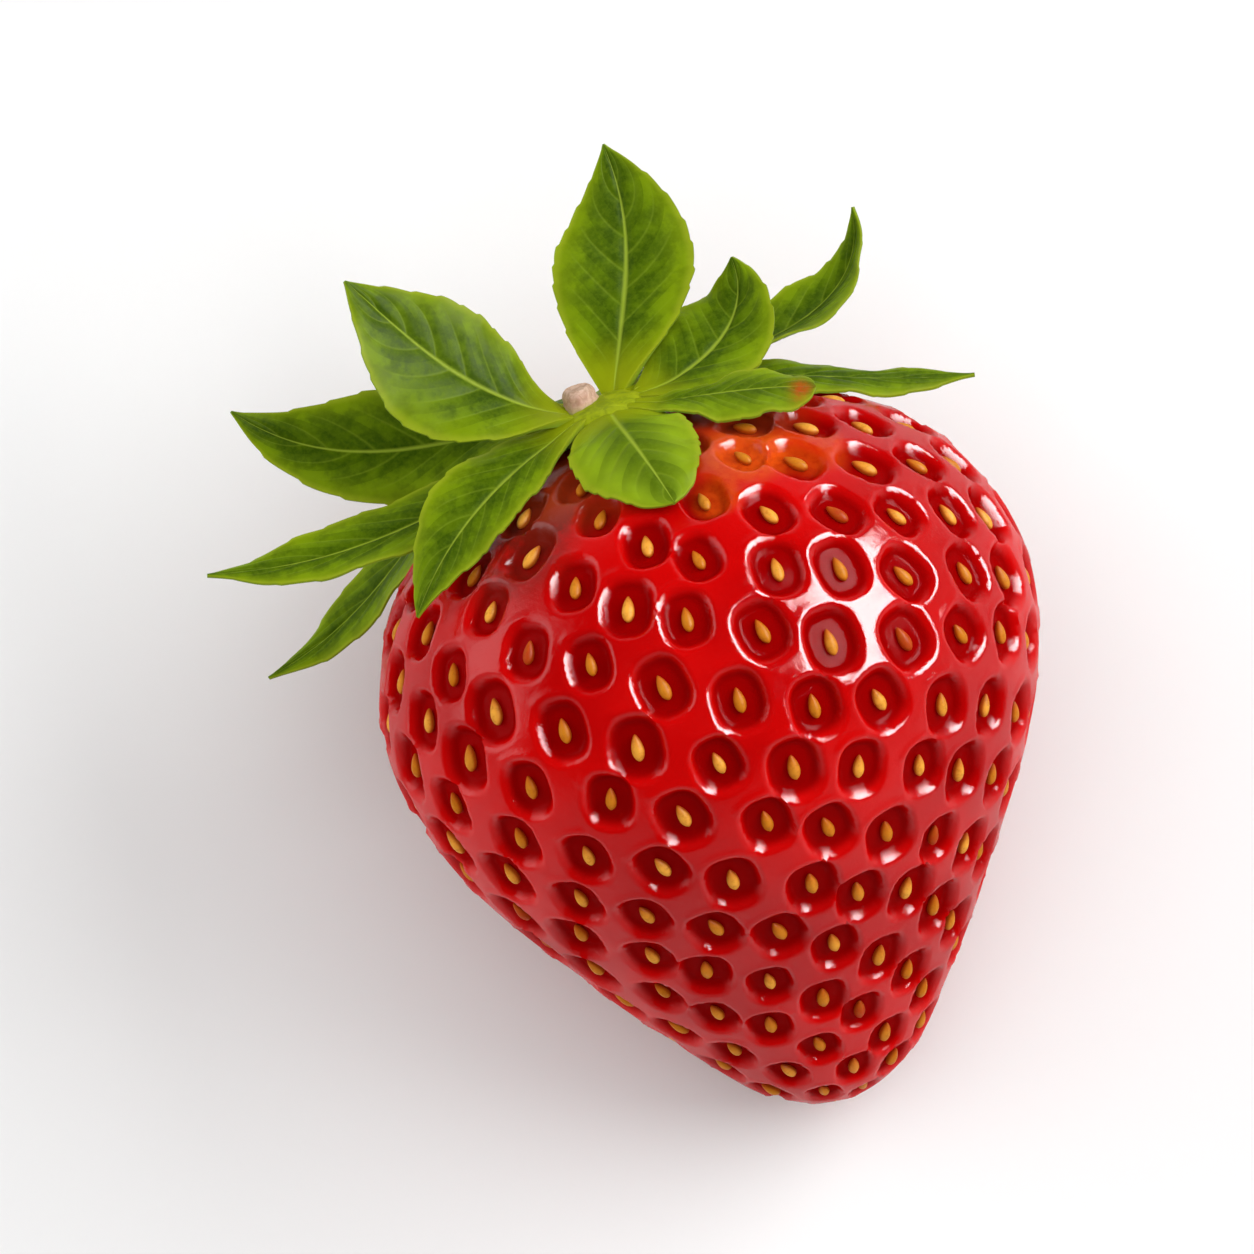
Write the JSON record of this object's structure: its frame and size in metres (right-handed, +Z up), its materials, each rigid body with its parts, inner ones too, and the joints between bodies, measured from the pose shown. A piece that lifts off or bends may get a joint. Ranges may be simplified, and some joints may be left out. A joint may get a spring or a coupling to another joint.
{
  "type": "strawberry",
  "caption": "Ripe strawberry lying on its flank: a heart-shaped red berry with a green calyx of pointed leaves and the stub of its stem.",
  "frame": {"origin": "middle of the small flat spot on the berry's flank, which is on the ground", "axes": "+Z up; +Y along the ground towards the calyx end; +X to the right, seen from the tip's side"},
  "size_m": [0.0558, 0.0669, 0.0434],
  "materials": {
    "berry_skin": "moist, glossy red fruit skin with an oval pit round each seed",
    "seed": "dry golden-yellow to orange-brown strawberry seeds, one in each pit",
    "leaf": "satin green leaf with a paler midrib and side veins, yellow-green base and paler underside",
    "calyx": "satin yellow-green plant tissue where the leaves join",
    "stem": "dry, pale pinkish broken end of a stem with a paler core"
  },
  "bodies": {
    "root": {"berry": "berry_skin", "calyx_disc": "calyx", "stem_stub": "stem", "sepal_upright": "leaf", "sepal_right_small": "leaf", "sepal_right_curled": "leaf", "sepal_right_low": "leaf", "sepal_front": "leaf", "sepal_front_left": "leaf", "sepal_left_raised": "leaf", "sepal_left_long": "leaf", "bract_right": "leaf", "bract_under_right": "leaf", "bract_under_left": "leaf", "bract_left_low": "leaf", "bract_left": "leaf"}
  },
  "joints": []
}
